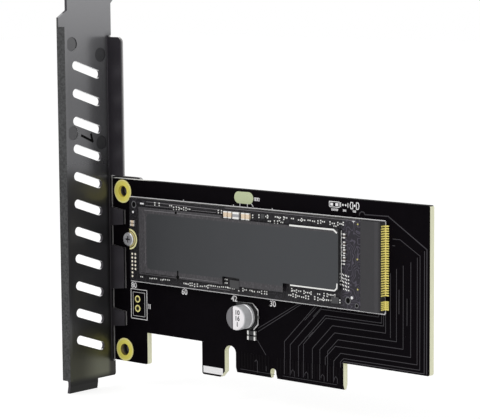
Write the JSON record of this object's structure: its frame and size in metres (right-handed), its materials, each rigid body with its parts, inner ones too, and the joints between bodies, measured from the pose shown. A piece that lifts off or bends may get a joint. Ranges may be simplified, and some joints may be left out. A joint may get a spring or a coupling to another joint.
{
  "type": "nvme adapter card",
  "caption": "Full-height plug-in card on a vented slot bracket that carries a flat M.2 solid-state drive in an edge socket and joins it to a PCI Express slot.",
  "frame": {"origin": "middle of the key notch of the edge connector, half-way through the board, at the height of the contact tips", "axes": "+X along the card from the bracket towards its free end, +Y from the component face through the board to its solder face, +Z from the contact tips up to the bracket's fixing tab"},
  "size_m": [0.1168, 0.0238, 0.1199],
  "materials": {
    "solder_mask": "black solder mask on glass-epoxy laminate, satin",
    "gold_plate": "gold-plated copper",
    "bracket_steel": "folded sheet steel, dull black-chromium plate",
    "post_steel": "turned steel, bright",
    "module_mask": "dark solder mask, satin",
    "package_resin": "moulded epoxy, dull",
    "label_film": "printed polymer film, dull grey",
    "ceramic_grey": "sintered grey ceramic",
    "ceramic_tan": "sintered tan ceramic with tinned ends",
    "socket_resin": "moulded liquid-crystal polymer, dull dark grey",
    "tail_gold": "gold-flashed copper alloy",
    "can_aluminium": "drawn and lacquered aluminium",
    "base_resin": "moulded black resin",
    "tinned_lead": "tinned wire, bright"
  },
  "bodies": {
    "root": {"circuit_board": "solder_mask", "bracket": "bracket_steel", "upper_mounting_ring": "gold_plate", "lower_mounting_ring": "gold_plate", "upper_header_ring": "gold_plate", "lower_header_ring": "gold_plate", "second_post_ring": "gold_plate", "third_post_ring": "gold_plate", "fourth_post_ring": "gold_plate", "front_edge_contacts": "gold_plate", "rear_edge_contacts": "gold_plate", "module_post": "post_steel", "module_screw": "post_steel", "module_board": "module_mask", "module_screw_land": "gold_plate", "module_contacts": "gold_plate", "first_memory": "package_resin", "second_memory": "package_resin", "cache_memory": "package_resin", "controller": "package_resin", "module_label": "label_film", "first_tall_capacitors": "ceramic_tan", "second_tall_capacitors": "ceramic_tan", "power_coil": "ceramic_grey", "power_regulator": "package_resin", "end_capacitors": "ceramic_tan", "bus_capacitors": "ceramic_tan", "board_resistors": "ceramic_tan", "socket_housing": "socket_resin", "socket_tails": "tail_gold", "capacitor_can": "can_aluminium", "capacitor_base": "base_resin", "capacitor_leads": "tinned_lead"}
  },
  "joints": []
}
